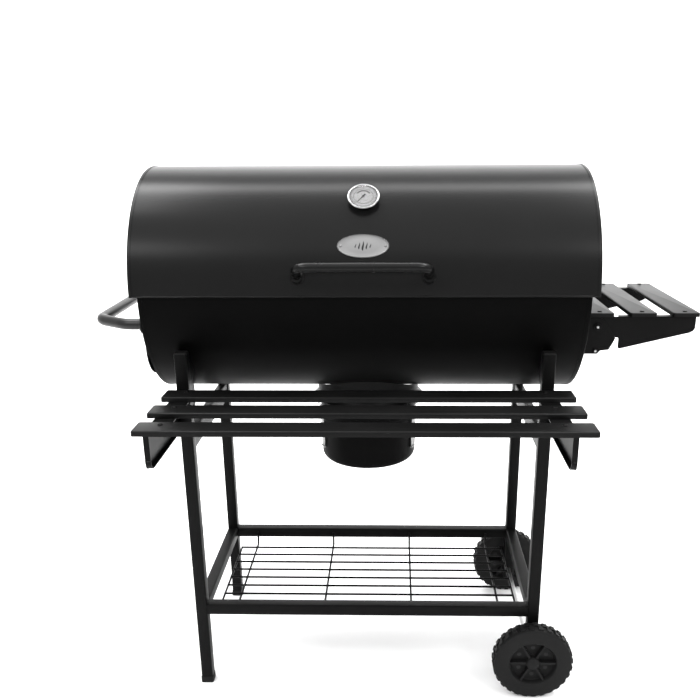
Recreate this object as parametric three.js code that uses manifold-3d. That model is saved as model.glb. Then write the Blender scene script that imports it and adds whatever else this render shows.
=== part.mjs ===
// Barrel charcoal grill on a two-wheel cart, in millimetres, Z up.
// X runs along the barrel, the cook stands on the -Y side, the floor is Z = 0.
import * as THREE from "three";
import { mergeVertices } from "three/addons/utils/BufferGeometryUtils.js";
import Module from "manifold-3d";

const wasm = await Module();
wasm.setup();

// Square tubes of the cart; Y = 0 is the front face of the front legs.
const TUBE = 25;
const WALL = 2;
const LEG_X = 372.5; // outer face of every leg
const REAR_Y = 360.5; // front face of the rear legs
const FRONT_LEG_TOP = 760;
const REAR_LEG_TOP = 682;
const RIGHT_LEG_BOTTOM = 58;
const FOOT_H = 3;
const RAIL_Z = 175; // underside of the base rails
const UPPER_RAIL_Z = [554, 594];
const INSET = LEG_X - TUBE; // inner face of every leg

// Barrel: one horizontal axis shared by the fixed lower half and the lid.
const AXIS_Y = 228.5;
const AXIS_Z = 871;
const BODY_R = 229;
const LID_R = 235;
const SHEET = 2;
const BODY_X = 433; // outer face of the lower half's end plates
const LID_X = 447; // outer face of the lid's end plates
const BODY_RIM_Z = 880;
const LID_EDGE_Z = 873.5;
const HINGE = [472, 871.5]; // Y, Z of the lid's hinge axis

// Wheels and axle on the right-hand legs.
const WHEEL_R = 86;
const AXLE_X = 358;
const AXLE_R = 5;

// Front shelf, hung on two sheet arms.
const SHELF_Z = 690;
const SLAT_H = 10;
const SLAT_X = [-390, 406];
const SLAT_DEPTH = 50;
const SLAT_Y = [-240, -146, -52];

// Fold-down side shelf on the right-hand end.
const SIDE_Z = 830;
const SIDE_Y = [57, 400];
const SIDE_SLAT_X = [440, 524, 608];
const SIDE_SLAT_W = 53;
const PIVOT = [461, 802.5]; // X, Z of the shelf's pivot bolts

// Ash bucket below the middle of the barrel.
const BUCKET_R = 107;
const BUCKET_Z = [465, 606];
const COLLAR_R = 112.5;
const LATCH_ANGLE = 24; // degrees in front of the bucket's left and right sides
const LATCH_Z = 500; // height of the latches' pivots

// Round vent damper on the left-hand end.
const VENT = [100, 765]; // Y, Z of its centre
const VENT_R = 67;

const BLACK = "#1d1d1f";
const SATIN = "#2a2b2d";
const PLASTIC = "#161617";
const STEEL = "#b9bcc0";
const CHROME = "#d5d8dc";

const grill = new THREE.Group();
grill.name = "barrel_charcoal_grill";

// ---- solids -------------------------------------------------------------

function toSolid(geometry) {
  const g = geometry.clone();
  g.deleteAttribute("normal");
  g.deleteAttribute("uv");
  const merged = mergeVertices(g, 1e-4);
  return new wasm.Manifold(
    new wasm.Mesh({
      numProp: 3,
      vertProperties: new Float32Array(merged.attributes.position.array),
      triVerts: new Uint32Array(merged.index.array),
    }),
  );
}

function toGeometry(solid) {
  const mesh = solid.getMesh();
  const positions = new Float32Array(mesh.numVert * 3);
  for (let i = 0; i < mesh.numVert; i++) {
    const start = i * mesh.numProp;
    positions.set(mesh.vertProperties.subarray(start, start + 3), i * 3);
  }
  const geometry = new THREE.BufferGeometry();
  geometry.setAttribute("position", new THREE.BufferAttribute(positions, 3));
  geometry.setIndex(new THREE.BufferAttribute(new Uint32Array(mesh.triVerts), 1));
  return geometry;
}

function join(...geometries) {
  const solids = geometries.map(toSolid);
  return toGeometry(solids.reduce((a, b) => a.add(b)));
}

function cut(geometry, ...tools) {
  const solids = tools.map(toSolid);
  return toGeometry(solids.reduce((a, b) => a.subtract(b), toSolid(geometry)));
}

function common(a, b) {
  return toGeometry(toSolid(a).intersect(toSolid(b)));
}

function box(x0, x1, y0, y1, z0, z1) {
  const g = new THREE.BoxGeometry(x1 - x0, y1 - y0, z1 - z0);
  return g.translate((x0 + x1) / 2, (y0 + y1) / 2, (z0 + z1) / 2);
}

// A flat outline pushed along one axis. Outline points are (Y, Z) for "x", (X, Z) for "y", (X, Y) for "z".
function prism(points, axis, from, to) {
  const shape = new THREE.Shape(points.map(([u, v]) => new THREE.Vector2(u, v)));
  const g = new THREE.ExtrudeGeometry(shape, { depth: to - from, bevelEnabled: false });
  const m = new THREE.Matrix4();
  if (axis === "x") m.set(0, 0, 1, from, 1, 0, 0, 0, 0, 1, 0, 0, 0, 0, 0, 1);
  if (axis === "y") m.set(1, 0, 0, 0, 0, 0, -1, to, 0, 1, 0, 0, 0, 0, 0, 1);
  if (axis === "z") m.makeTranslation(0, 0, from);
  return g.applyMatrix4(m);
}

function rod(a, b, radius, sides = 12) {
  const from = new THREE.Vector3(...a);
  const to = new THREE.Vector3(...b);
  const along = to.clone().sub(from);
  const g = new THREE.CylinderGeometry(radius, radius, along.length(), sides);
  const turn = new THREE.Quaternion().setFromUnitVectors(
    new THREE.Vector3(0, 1, 0),
    along.clone().normalize(),
  );
  const middle = from.add(to).multiplyScalar(0.5);
  return g.applyQuaternion(turn).translate(middle.x, middle.y, middle.z);
}

// A straight run of points with each corner rounded.
function roundedPath(points, radius) {
  const p = points.map((q) => new THREE.Vector3(...q));
  const path = new THREE.CurvePath();
  let start = p[0];
  for (let i = 1; i < p.length - 1; i++) {
    const before = p[i].clone().sub(p[i - 1]).normalize();
    const after = p[i + 1].clone().sub(p[i]).normalize();
    const into = p[i].clone().addScaledVector(before, -radius);
    const out = p[i].clone().addScaledVector(after, radius);
    path.add(new THREE.LineCurve3(start, into));
    path.add(new THREE.QuadraticBezierCurve3(into, p[i], out));
    start = out;
  }
  path.add(new THREE.LineCurve3(start, p[p.length - 1]));
  return path;
}

function circleShape(radius, sides) {
  const points = [];
  for (let i = 0; i < sides; i++) {
    const a = (2 * Math.PI * i) / sides;
    points.push(new THREE.Vector2(radius * Math.cos(a), radius * Math.sin(a)));
  }
  return new THREE.Shape(points);
}

function bentRod(points, bend, radius, steps, sides = 12) {
  return new THREE.ExtrudeGeometry(circleShape(radius, sides), {
    steps,
    extrudePath: roundedPath(points, bend),
    bevelEnabled: false,
  });
}

// A closed [radius, height] profile spun about a vertical axis.
function lathe(profile, sides) {
  const points = profile.map(([r, h]) => new THREE.Vector2(r, h));
  return new THREE.LatheGeometry(points, sides).rotateX(Math.PI / 2);
}

function add(name, geometry, colour, roughness, metalness) {
  const material = new THREE.MeshStandardMaterial({ color: colour, roughness, metalness });
  material.name = name;
  const mesh = new THREE.Mesh(geometry, material);
  mesh.name = name;
  grill.add(mesh);
  return mesh;
}

const black = (name, geometry) => add(name, geometry, BLACK, 0.42, 0.3);

// ---- cart ---------------------------------------------------------------

function squareTube(axis, u0, v0, w, h, from, to) {
  const outer = [[u0, v0], [u0 + w, v0], [u0 + w, v0 + h], [u0, v0 + h]];
  const inner = [
    [u0 + WALL, v0 + WALL],
    [u0 + w - WALL, v0 + WALL],
    [u0 + w - WALL, v0 + h - WALL],
    [u0 + WALL, v0 + h - WALL],
  ];
  return cut(prism(outer, axis, from, to), prism(inner, axis, from - 1, to + 1));
}

function legTube(x0, y0, bottom, top) {
  return squareTube("z", x0, y0, TUBE, TUBE, bottom, top);
}

// A plug: a plate as wide as the tube, with a block that fits inside it.
function tubePlug(x0, y0, zPlate, thick, zBlock) {
  const slack = WALL + 0.3;
  return join(
    box(x0, x0 + TUBE, y0, y0 + TUBE, zPlate, zPlate + thick),
    box(x0 + slack, x0 + TUBE - slack, y0 + slack, y0 + TUBE - slack, ...zBlock),
  );
}

// Outlines of the saddles between the legs and the barrel, and of the hollow in each.
const FRONT_SADDLE = [[25, 690], [37, 690], [92, 718], [92, 740], [25, 759]];
const FRONT_HOLLOW = [[27, 680], [140, 680], [140, 735], [27, 780]];
const REAR_SADDLE = [
  [REAR_Y, 612], [REAR_Y, 681], [REAR_Y - 80, 660], [REAR_Y - 56, 640], [REAR_Y - 10, 612],
];
const REAR_HOLLOW = [[REAR_Y - 2, 600], [REAR_Y - 2, 700], [REAR_Y - 90, 700], [REAR_Y - 90, 600]];

const axleHole = rod([AXLE_X, -10, WHEEL_R], [AXLE_X, 400, WHEEL_R], AXLE_R + 0.3);

for (const [side, x0] of [["left", -LEG_X], ["right", INSET]]) {
  const bottom = side === "left" ? FOOT_H : RIGHT_LEG_BOTTOM;
  for (const [end, y0, top] of [["front", 0, FRONT_LEG_TOP], ["rear", REAR_Y, REAR_LEG_TOP]]) {
    const tube = legTube(x0, y0, bottom, top);
    black(`leg_${end}_${side}`, side === "right" ? cut(tube, axleHole) : tube);
    if (side === "left")
      add(`foot_${end}`, tubePlug(x0, y0, 0, FOOT_H, [1, 20]), PLASTIC, 0.7, 0);
  }
  const plugged = [FRONT_LEG_TOP - 14, FRONT_LEG_TOP + 1];
  add(`leg_cap_${side}`, tubePlug(x0, 0, FRONT_LEG_TOP, 2, plugged), PLASTIC, 0.6, 0);
  black(`base_rail_${side}`, squareTube("y", x0, RAIL_Z, TUBE, TUBE, TUBE, REAR_Y));
  const [z0, z1] = UPPER_RAIL_Z;
  black(`upper_rail_${side}`, squareTube("y", x0 + 2.5, z0, TUBE - 5, z1 - z0, TUBE, REAR_Y));
  black(`saddle_front_${side}`, saddle(x0 + 3, FRONT_SADDLE, FRONT_HOLLOW));
  black(`saddle_rear_${side}`, saddle(x0 + 3, REAR_SADDLE, REAR_HOLLOW));
}
black("base_rail_front", squareTube("x", 0, RAIL_Z, TUBE, TUBE, -INSET, INSET));
black("base_rail_rear", squareTube("x", REAR_Y, RAIL_Z, TUBE, TUBE, -INSET, INSET));

// A sheet wedge, as [Y, Z] outline and hollow, that ties a leg to the curved underside of the barrel.
function saddle(x0, outline, hollow) {
  const wedge = prism(outline, "x", x0, x0 + 19);
  const inside = prism(hollow, "x", x0 + 2, x0 + 17);
  return cut(wedge, inside, barrelSolid(BODY_R + 0.6, -LEG_X - 20, LEG_X + 20));
}

// Long wires on cross wires whose ends turn up behind the front and rear base rails.
function rack() {
  const parts = [];
  const cross = RAIL_Z - 17;
  const [front, rear] = [TUBE + 3, REAR_Y - 3];
  for (const x of [-294, -98, 98, 294]) {
    for (const y of [front, rear]) {
      parts.push(rod([x, y, cross], [x, y, RAIL_Z + 15], 2.5, 8));
      parts.push(new THREE.SphereGeometry(2.6, 8, 6).translate(x, y, cross));
    }
    parts.push(rod([x, front, cross], [x, rear, cross], 2.5, 8));
  }
  for (const x of [-333, 333]) parts.push(rod([x, 32, cross], [x, 331, cross], 2.5, 8));
  for (let i = 0; i < 9; i++) {
    const y = 328 - 36.7 * i;
    parts.push(rod([-333, y, cross + 4], [333, y, cross + 4], 2.5, 8));
  }
  return join(...parts);
}
add("bottom_rack", rack(), BLACK, 0.45, 0.3);

// ---- barrel -------------------------------------------------------------

// A cylinder along the barrel's axis.
function barrelSolid(radius, x0, x1, sides = 96) {
  const g = new THREE.CylinderGeometry(radius, radius, x1 - x0, sides);
  return g.rotateZ(Math.PI / 2).translate((x0 + x1) / 2, AXIS_Y, AXIS_Z);
}

function above(z) {
  return box(-500, 500, -50, 520, z, 1200);
}

function below(z) {
  return box(-500, 500, -50, 520, 500, z);
}

const ashHole = rod([0, AXIS_Y, 600], [0, AXIS_Y, 700], 90, 32);
black(
  "barrel_shell",
  cut(barrelSolid(BODY_R, -431, 431), barrelSolid(BODY_R - SHEET, -440, 440), above(BODY_RIM_Z), ashHole),
);

// Four round air holes about the vent's centre, along X.
function ventHoles(radius, turn) {
  const holes = [];
  for (let i = 0; i < 4; i++) {
    const a = turn + (i * Math.PI) / 2;
    const y = VENT[0] + 36 * Math.cos(a);
    const z = VENT[1] + 36 * Math.sin(a);
    holes.push(rod([-450, y, z], [-420, y, z], radius, 16));
  }
  return holes;
}

const [ventY, ventZ] = VENT;
const leftPlate = cut(barrelSolid(BODY_R, -BODY_X, -431), above(BODY_RIM_Z), ...ventHoles(13, Math.PI / 4));
const ventStud = join(
  rod([-437.5, ventY, ventZ], [-432, ventY, ventZ], 3.5, 12),
  rod([-439, ventY, ventZ], [-437.2, ventY, ventZ], 7, 16),
);
black("barrel_end_left", join(leftPlate, ventStud));
black("barrel_end_right", cut(barrelSolid(BODY_R, 431, BODY_X), above(BODY_RIM_Z)));

const damperDisc = join(
  rod([-436.2, ventY, ventZ], [-433.8, ventY, ventZ], VENT_R, 40),
  box(-442, -434.2, ventY - 4, ventY + 4, ventZ - VENT_R + 6, ventZ - VENT_R + 26),
);
add(
  "vent_damper",
  cut(damperDisc, rod([-440, ventY, ventZ], [-430, ventY, ventZ], 4, 12), ...ventHoles(13, Math.PI / 4)),
  SATIN,
  0.4,
  0.5,
);

// Ledges inside the barrel that carry the cooking grates.
const ledgeFoot = 843;
const ledge = (side) => {
  const near = AXIS_Y + side * 224.5;
  const far = AXIS_Y + side * 207;
  const lip = AXIS_Y + side * 222.5;
  return join(
    box(-400, 400, Math.min(near, far), Math.max(near, far), ledgeFoot, ledgeFoot + 2),
    box(-400, 400, Math.min(near, lip), Math.max(near, lip), ledgeFoot, ledgeFoot + 14),
  );
};
black("grate_ledge_front", ledge(-1));
black("grate_ledge_rear", ledge(1));

// ---- lid ----------------------------------------------------------------

// A direction square to the lid's surface, at so many degrees above the front horizontal.
function outward(degrees) {
  const a = (degrees * Math.PI) / 180;
  return new THREE.Vector3(0, -Math.cos(a), Math.sin(a));
}

// Stands a shape made along +Z, with its top towards +Y, on the lid at an angle.
function onLid(geometry, degrees, height = 0) {
  const out = outward(degrees);
  const across = new THREE.Vector3(1, 0, 0);
  const up = out.clone().cross(across);
  const m = new THREE.Matrix4().makeBasis(across, up, out);
  const at = out.clone().multiplyScalar(LID_R + height);
  m.setPosition(at.x, at.y + AXIS_Y, at.z + AXIS_Z);
  return geometry.applyMatrix4(m);
}

const THERMO_ANGLE = 48;
const PLATE_ANGLE = 24.2;
const stemHole = onLid(rod([0, 0, -12], [0, 0, 6], 5, 16), THERMO_ANGLE);
black(
  "lid_shell",
  cut(barrelSolid(LID_R, -445, 445), barrelSolid(LID_R - SHEET, -450, 450), below(LID_EDGE_Z), stemHole),
);
black("lid_end_left", cut(barrelSolid(LID_R, -LID_X, -445), below(LID_EDGE_Z)));
black("lid_end_right", cut(barrelSolid(LID_R, 445, LID_X), below(LID_EDGE_Z)));

const HANDLE_X = 124; // half the distance between the handle's ends
const handlePath = [[-HANDLE_X, 10, 907], [-HANDLE_X, -50, 937], [HANDLE_X, -50, 937], [HANDLE_X, 10, 907]];
const handleBar = bentRod(handlePath, 26, 9, 44);
const handleFeet = [-HANDLE_X, HANDLE_X].map((x) => rod([x, 1.7, 909.2], [x, -9.2, 911], 13, 16));
const handle = cut(join(handleBar, ...handleFeet), barrelSolid(LID_R + 0.4, -300, 300));
add("lid_handle", handle, PLASTIC, 0.18, 0.1);

// The case is a spun cup: stem, flange, wall and rolled bezel, with the dial in its recess.
const caseProfile = [
  [0, -24], [3.5, -24], [3.5, 1.2], [22.3, 1.2], [24.2, 3], [25.1, 7.5], [30.2, 9.4], [31.1, 12],
  [29.8, 15.5], [27.4, 15.5], [26.8, 11.4], [0, 11.4],
];
add("thermometer_case", onLid(lathe(caseProfile, 40), THERMO_ANGLE), CHROME, 0.15, 1);
add("thermometer_dial", onLid(rod([0, 0, 11.7], [0, 0, 12.4], 26.3, 40), THERMO_ANGLE), "#d9dadb", 0.4, 0.2);
const needleShape = [[-1.6, 5.5], [1.6, 5.5], [0.5, -20], [-0.5, -20]];
const needle = join(prism(needleShape, "z", 12.8, 13.5), rod([0, 0, 12.75], [0, 0, 14.3], 3, 12));
needle.rotateZ((-38 * Math.PI) / 180);
add("thermometer_needle", onLid(needle, THERMO_ANGLE), "#1a1a1a", 0.5, 0);

function nameplate() {
  const oval = [];
  for (let i = 0; i < 40; i++) {
    const a = (2 * Math.PI * i) / 40;
    oval.push([49 * Math.cos(a), 22.5 * Math.sin(a)]);
  }
  const stamp = onLid(prism(oval, "z", -8, 8), PLATE_ANGLE);
  const skin = cut(barrelSolid(LID_R + 2.4, -60, 60), barrelSolid(LID_R + 0.3, -70, 70));
  return common(stamp, skin);
}
add("nameplate", nameplate(), STEEL, 0.3, 0.9);

// ---- lid hinges ---------------------------------------------------------

// A leaf lying on the barrel's back at so many degrees above the rear horizontal.
function leaf(x0, x1, radius, degrees, height) {
  const plate = box(x0, x1, radius, radius + 2.5, -height / 2, height / 2);
  return plate.rotateX((degrees * Math.PI) / 180).translate(0, AXIS_Y, AXIS_Z);
}

for (const [side, x] of [["left", -300], ["right", 300]]) {
  const [hy, hz] = HINGE;
  const knuckle = (x0, x1) => rod([x0, hy, hz], [x1, hy, hz], 6, 16);
  const base = join(
    leaf(x - 20, x + 20, BODY_R + 0.4, -8, 44),
    knuckle(x - 20, x - 6.5),
    knuckle(x + 6.5, x + 20),
    box(x - 20, x - 6.5, hy - 12.5, hy, 858, 869),
    box(x + 6.5, x + 20, hy - 12.5, hy, 858, 869),
    rod([x - 24, hy, hz], [x + 24, hy, hz], 3, 12),
  );
  const top = join(
    leaf(x - 20, x + 20, LID_R + 0.4, 7, 44),
    knuckle(x - 6, x + 6),
    box(x - 6, x + 6, hy - 7.8, hy, hz + 1, hz + 9),
  );
  black(`hinge_base_${side}`, base);
  black(`hinge_lid_${side}`, cut(top, rod([x - 30, hy, hz], [x + 30, hy, hz], 3.4, 12)));
}

// ---- pull handle on the left-hand end -----------------------------------

const PULL_Z = 816;
const pullPath = [[-433.6, 24], [-468, 24], [-533, 68], [-533, 389], [-468, 433], [-433.6, 433]];
const pullBar = bentRod(pullPath.map(([x, y]) => [x, y, PULL_Z]), 22, 11, 54, 14);
const pullFlanges = [24, 433].map((y) => rod([-436.6, y, PULL_Z], [-433.4, y, PULL_Z], 18, 20));
add("pull_handle", join(pullBar, ...pullFlanges), SATIN, 0.35, 0.4);

// ---- grates -------------------------------------------------------------

function cookingGrate(x0, x1) {
  const z = ledgeFoot + 5.3;
  const y0 = AXIS_Y - 216;
  const y1 = AXIS_Y + 216;
  const frame = [
    rod([x0, y0, z], [x1, y0, z], 3, 8),
    rod([x0, y1, z], [x1, y1, z], 3, 8),
    rod([x0, y0 - 2, z], [x0, y1 + 2, z], 3, 8),
    rod([x1, y0 - 2, z], [x1, y1 + 2, z], 3, 8),
    rod([x0, AXIS_Y, z], [x1, AXIS_Y, z], 3, 8),
  ];
  const bars = [];
  const count = 12;
  for (let i = 1; i <= count; i++) {
    const x = x0 + ((x1 - x0) * i) / (count + 1);
    bars.push(rod([x, y0, z], [x, y1, z], 2.2, 6));
  }
  return join(...frame, ...bars);
}
add("cooking_grate_left", cookingGrate(-420, -5), STEEL, 0.35, 0.9);
add("cooking_grate_right", cookingGrate(5, 420), STEEL, 0.35, 0.9);

function charcoalTray() {
  const half = 151;
  const z = 703.5;
  const slots = [];
  for (const row of [-0.75, -0.25, 0.25, 0.75]) {
    for (let i = 0; i < 9; i++) {
      const x = -340 + 85 * i;
      const y = AXIS_Y + row * 140;
      slots.push(box(x - 28, x + 28, y - 7, y + 7, z - 5, z + 5));
    }
  }
  const plate = cut(box(-390, 390, AXIS_Y - half, AXIS_Y + half, z, z + 2), ...slots);
  const lip = (x) => box(x, x + 2, AXIS_Y - half, AXIS_Y + half, z, z + 22);
  return join(plate, lip(-390), lip(388));
}
add("charcoal_tray", charcoalTray(), "#3a3a3c", 0.6, 0.6);

// ---- front shelf --------------------------------------------------------

// A sheet channel: flat top with folded-down edges all round, open below.
function slat(x0, x1, y0, y1, top, height) {
  const outer = box(x0, x1, y0, y1, top - height, top);
  const hollow = box(x0 + SHEET, x1 - SHEET, y0 + SHEET, y1 - SHEET, top - height - 1, top - SHEET);
  return cut(outer, hollow);
}

SLAT_Y.forEach((y, i) => {
  black(`front_slat_${i + 1}`, slat(...SLAT_X, y, y + SLAT_DEPTH, SHELF_Z, SLAT_H));
});

// Side view of an arm: deep under the shelf, rounded lower front corner, trimmed under the barrel.
const ARM_FRONT = -222;
const ARM_LOW = SHELF_Z - SLAT_H - 72;

function armOutline() {
  const top = SHELF_Z - SLAT_H;
  const low = ARM_LOW;
  return [
    [ARM_FRONT, top], [ARM_FRONT, low + 18], [ARM_FRONT + 4, low + 7], [ARM_FRONT + 12, low],
    [120, low], [142, low + 8], [142, top],
  ];
}

// An arm is a web on the leg's outer face with lips turned in along its front, foot and top.
for (const [side, sign] of [["left", -1], ["right", 1]]) {
  const across = (from, to) => [sign * from, sign * to].sort((a, b) => a - b);
  const web = prism(armOutline(), "x", ...across(LEG_X, LEG_X + 2.5));
  const under = SHELF_Z - SLAT_H;
  const top = box(...across(LEG_X - 36, LEG_X + 2.5), ARM_FRONT, -0.5, under - 2.5, under);
  const front = box(...across(LEG_X - 8, LEG_X + 2.5), ARM_FRONT, ARM_FRONT + 2.5, ARM_LOW + 18, under);
  const foot = box(...across(LEG_X - 8, LEG_X + 2.5), ARM_FRONT + 12, -0.5, ARM_LOW, ARM_LOW + 2.5);
  const lean = prism(
    [[ARM_FRONT, ARM_LOW + 18.5], [ARM_FRONT + 4, ARM_LOW + 7], [ARM_FRONT + 12, ARM_LOW],
     [ARM_FRONT + 13, ARM_LOW + 2.5], [ARM_FRONT + 6, ARM_LOW + 8.5], [ARM_FRONT + 2.5, ARM_LOW + 19]],
    "x",
    ...across(LEG_X - 8, LEG_X + 2.5),
  );
  black(`shelf_arm_${side}`, cut(join(web, top, front, foot, lean), barrelSolid(BODY_R + 1, -400, 400)));
}

// ---- side shelf ---------------------------------------------------------

SIDE_SLAT_X.forEach((x, i) => {
  black(`side_slat_${i + 1}`, slat(x, x + SIDE_SLAT_W, ...SIDE_Y, SIDE_Z, 8));
});

// Side view of a shelf arm: round end about the pivot, a step that meets the stop bolt, a tapered blade.
function sideArmOutline() {
  const [px, pz] = PIVOT;
  const top = SIDE_Z - 8.3;
  const points = [];
  for (let i = 0; i <= 8; i++) {
    const a = Math.PI / 2 + (i * Math.PI) / 8;
    points.push([px + (top - pz) * Math.cos(a), pz + (top - pz) * Math.sin(a)]);
  }
  points.push([505.5, 779], [505.5, 755.5], [645, 789], [652, 793], [655, 799], [655, top]);
  return points;
}

// The fixed bracket: a flange on the barrel's end plate and a web that takes both bolts.
// Its top corner is round about the pivot, so the nearest slat clears it as the shelf folds.
function sideBracket(y0, y1, flangeY) {
  const [px, pz] = PIVOT;
  const outline = [[433, 746.5], [465, 746.5], [470, 753], [487, 755], [493, 766], [499, 779]];
  for (let i = 0; i <= 6; i++) {
    const a = ((33 + (57 * i) / 6) * Math.PI) / 180;
    outline.push([px + 18.5 * Math.cos(a), pz + 18.5 * Math.sin(a)]);
  }
  outline.push([433, pz + 18.5]);
  return join(prism(outline, "y", y0, y1), box(433, 435.2, ...flangeY, 746.5, 816));
}

for (const [end, web, blade, fold, flange] of [
  ["front", [60, 62.5], [63, 65.5], [63, 80], [62.4, 84]],
  ["rear", [394.5, 397], [391.5, 394], [377, 394], [373, 394.6]],
]) {
  const [px, pz] = PIVOT;
  const pivotBolt = [rod([px, web[0] - 4, pz], [px, web[1] + 4, pz], 4, 12)];
  const hole = rod([px, 40, pz], [px, 420, pz], 4.3, 12);
  const stop = rod([460, web[0] - (end === "front" ? 3 : 3.4), 753.5], [460, web[1] + 3.4, 753.5], 3.5, 12);
  black(`side_bracket_${end}`, join(sideBracket(...web, flange), ...pivotBolt, stop));
  const arm = join(
    prism(sideArmOutline(), "y", ...blade),
    box(505, 654, ...fold, SIDE_Z - 10.5, SIDE_Z - 8.3),
  );
  black(`side_arm_${end}`, cut(arm, hole));
}

// ---- wheels and axle ----------------------------------------------------

// Half section of a wheel as [radius, distance from its outer face]: cap, dished middle, rim, blind bore.
function wheel() {
  const profile = [
    [0, 0], [13, 0], [15, 3], [15, 14], [48, 14], [50, 2], [54, 0], [80, 0], [WHEEL_R, 5], [WHEEL_R, 29],
    [80, 34], [54, 34], [50, 32], [48, 20], [16, 20], [16, 42.5], [AXLE_R + 0.3, 42.5],
    [AXLE_R + 0.3, 4], [0, 4],
  ];
  const ribs = [];
  const holes = [];
  for (let i = 0; i < 6; i++) {
    const turn = (i * Math.PI) / 3;
    ribs.push(box(14, 50, -2.5, 2.5, 3, 15).rotateZ(turn));
    ribs.push(box(15, 50, -2.5, 2.5, 19, 30).rotateZ(turn));
    holes.push(rod([33, 0, 10], [33, 0, 24], 4.5, 10).rotateZ(turn + Math.PI / 6));
  }
  return cut(join(lathe(profile, 42), ...ribs), ...holes);
}

// Laid on its side with its outer face at Y = face, bore towards the cart.
function placedWheel(face, turn) {
  return wheel().rotateX(turn).translate(AXLE_X, face, WHEEL_R);
}

add("wheel_front", placedWheel(-43.8, -Math.PI / 2), PLASTIC, 0.65, 0);
add("wheel_rear", placedWheel(REAR_Y + TUBE + 43.8, Math.PI / 2), PLASTIC, 0.65, 0);
const axle = rod([AXLE_X, -38.5, WHEEL_R], [AXLE_X, REAR_Y + TUBE + 38.5, WHEEL_R], AXLE_R);
add("wheel_axle", axle, STEEL, 0.35, 0.9);

// ---- ash bucket ---------------------------------------------------------

const collarProfile = [
  [COLLAR_R - 2, 700], [COLLAR_R - 2, 623], [120, 612], [122, 612], [122, 613],
  [COLLAR_R, 624], [COLLAR_R, 700],
];
const collarBlank = lathe([...collarProfile, collarProfile[0]], 40).translate(0, AXIS_Y, 0);
black("ash_collar", cut(collarBlank, barrelSolid(BODY_R + 0.4, -200, 200)));

const [bucketLow, bucketTop] = BUCKET_Z;
const bucketProfile = [
  [0, bucketLow], [92, bucketLow], [101, bucketLow + 4], [106, bucketLow + 14], [BUCKET_R, bucketLow + 24],
  [BUCKET_R, bucketTop - 3], [110.5, bucketTop - 3], [110.5, bucketTop], [BUCKET_R - 2, bucketTop],
  [BUCKET_R - 2, bucketLow + 24], [100, bucketLow + 8], [92, bucketLow + 2], [0, bucketLow + 2],
];
black("ash_bucket", lathe(bucketProfile, 40).translate(0, AXIS_Y, 0));

// A sprung strip, pivoted low on the bucket's side, whose top grips the collar's flare from outside.
// It ends just below its pivot, so no tail turns into the bucket as the top swings out.
function latch(side) {
  const strip = prism(
    [[108.6, LATCH_Z - 2], [110.4, LATCH_Z - 2], [110.4, 520], [113.6, 596], [124.8, 609], [124.8, 619], [123.2, 619],
     [123.2, 609.6], [111.8, 597], [108.6, 520]],
    "y",
    -8,
    8,
  );
  const pin = rod([110, -9, LATCH_Z], [110, 9, LATCH_Z], 2.4, 10);
  const turn = side < 0 ? Math.PI + (LATCH_ANGLE * Math.PI) / 180 : -(LATCH_ANGLE * Math.PI) / 180;
  return join(strip, pin).rotateZ(turn).translate(0, AXIS_Y, 0);
}
add("ash_latch_left", latch(-1), STEEL, 0.4, 0.8);
add("ash_latch_right", latch(1), STEEL, 0.4, 0.8);

// ---- shared frame: the middle of the footprint, on the floor --------------

const size = new THREE.Box3().setFromObject(grill);
const middle = size.getCenter(new THREE.Vector3());
grill.position.set(-Math.round(middle.x), -Math.round(middle.y), 0);

export default grill;
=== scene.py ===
"""Looks of the barrel charcoal grill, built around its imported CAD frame."""

import math

import bmesh
import bpy
from mathutils import Matrix, Vector


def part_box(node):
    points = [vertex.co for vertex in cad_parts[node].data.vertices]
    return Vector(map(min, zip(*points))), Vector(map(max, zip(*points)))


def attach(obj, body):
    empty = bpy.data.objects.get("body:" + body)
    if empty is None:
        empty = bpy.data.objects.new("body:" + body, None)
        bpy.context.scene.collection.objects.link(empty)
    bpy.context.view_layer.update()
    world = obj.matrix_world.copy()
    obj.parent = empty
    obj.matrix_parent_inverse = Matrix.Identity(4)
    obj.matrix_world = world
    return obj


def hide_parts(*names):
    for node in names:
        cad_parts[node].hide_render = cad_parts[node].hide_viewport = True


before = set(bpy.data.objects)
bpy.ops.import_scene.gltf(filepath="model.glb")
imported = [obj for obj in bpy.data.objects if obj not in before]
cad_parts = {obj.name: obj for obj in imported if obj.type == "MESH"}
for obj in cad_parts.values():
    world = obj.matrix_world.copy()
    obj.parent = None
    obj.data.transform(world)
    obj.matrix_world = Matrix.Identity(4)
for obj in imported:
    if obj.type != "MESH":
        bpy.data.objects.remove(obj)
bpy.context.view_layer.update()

# Shapes are written in the cart's own millimetres: X = 0 midway between the legs, Y = 0 at the
# front faces of the front legs, Z = 0 on the floor.
LEG_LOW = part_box("leg_front_left")[0]
OX = LEG_LOW.x + 0.3725
OY = LEG_LOW.y
AXIS_Y, AXIS_Z = 228.5, 871.0
BODY_R, LID_R = 229.0, 235.0
TUBE = 25
LEG_XS = (("left", -372.5), ("right", 347.5))
REAR_Y = 360.5
RAIL_Z = 175
SHELF_Z, SLAT_Y = 690, (-240, -146, -52)
SIDE_Z, SIDE_SLAT_X = 830, (440, 524, 608)
VENT_Y, VENT_Z = 100, 765
VENT_HOLE_R, VENT_HOLE_AT = 13, 36
AXLE_X, AXLE_Z = 358, 86


def at(p):
    return Vector((OX + p[0] * 0.001, OY + p[1] * 0.001, p[2] * 0.001))


# ---- mesh tools ----------------------------------------------------------


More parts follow.
